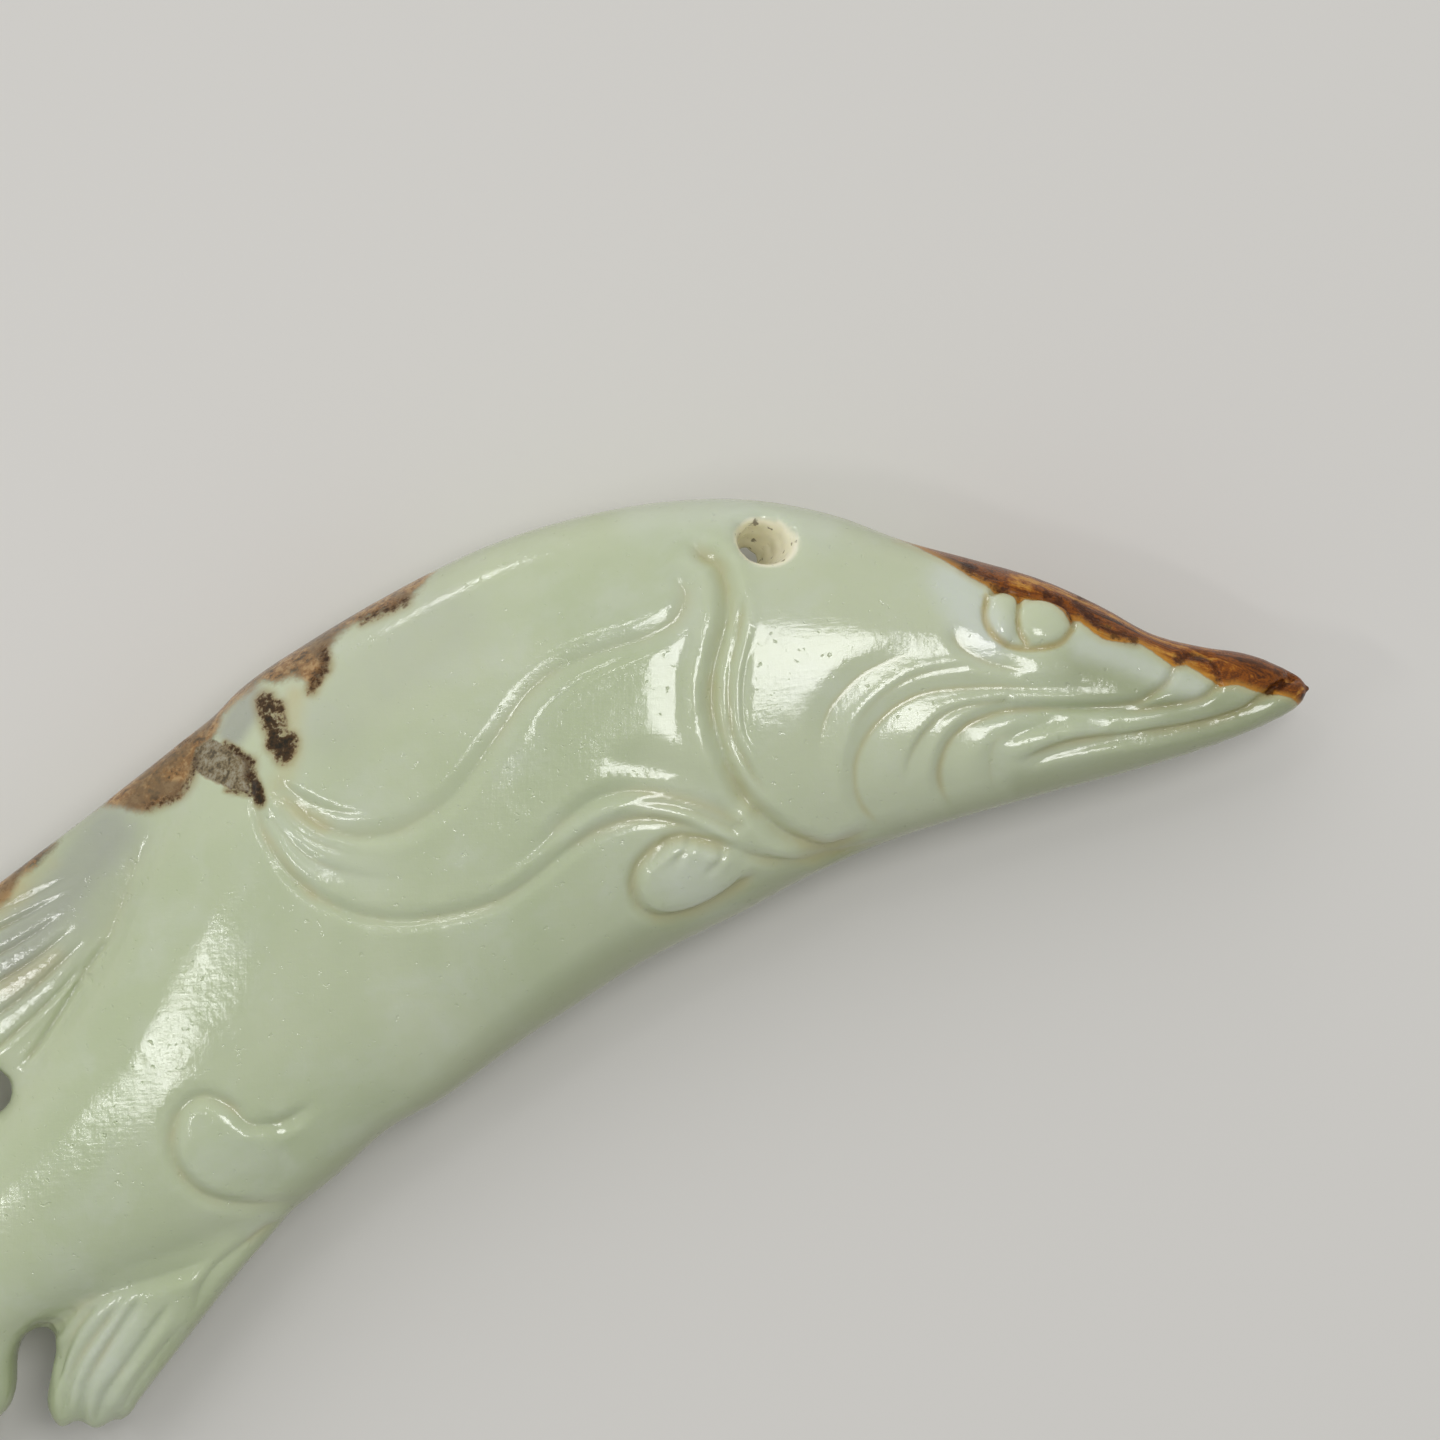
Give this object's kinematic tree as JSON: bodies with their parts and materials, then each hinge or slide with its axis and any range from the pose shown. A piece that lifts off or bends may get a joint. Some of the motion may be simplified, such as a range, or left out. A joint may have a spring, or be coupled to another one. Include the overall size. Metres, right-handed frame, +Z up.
{
  "type": "jade fish carving",
  "caption": "Arched fish carved in the round from one pale green jade pebble, with a drilled cord hole in its back; it lies on its side.",
  "frame": {"origin": "centre of the bounding box in plan, at the ground flat of the lower face", "axes": "+X from the tail to the snout, +Y to the arched back, +Z up out of the upper carved face"},
  "size_m": [0.112, 0.0406, 0.0133],
  "materials": {
    "jade": "polished"
  },
  "bodies": {
    "root": {"jade_fish": "jade"}
  },
  "joints": []
}
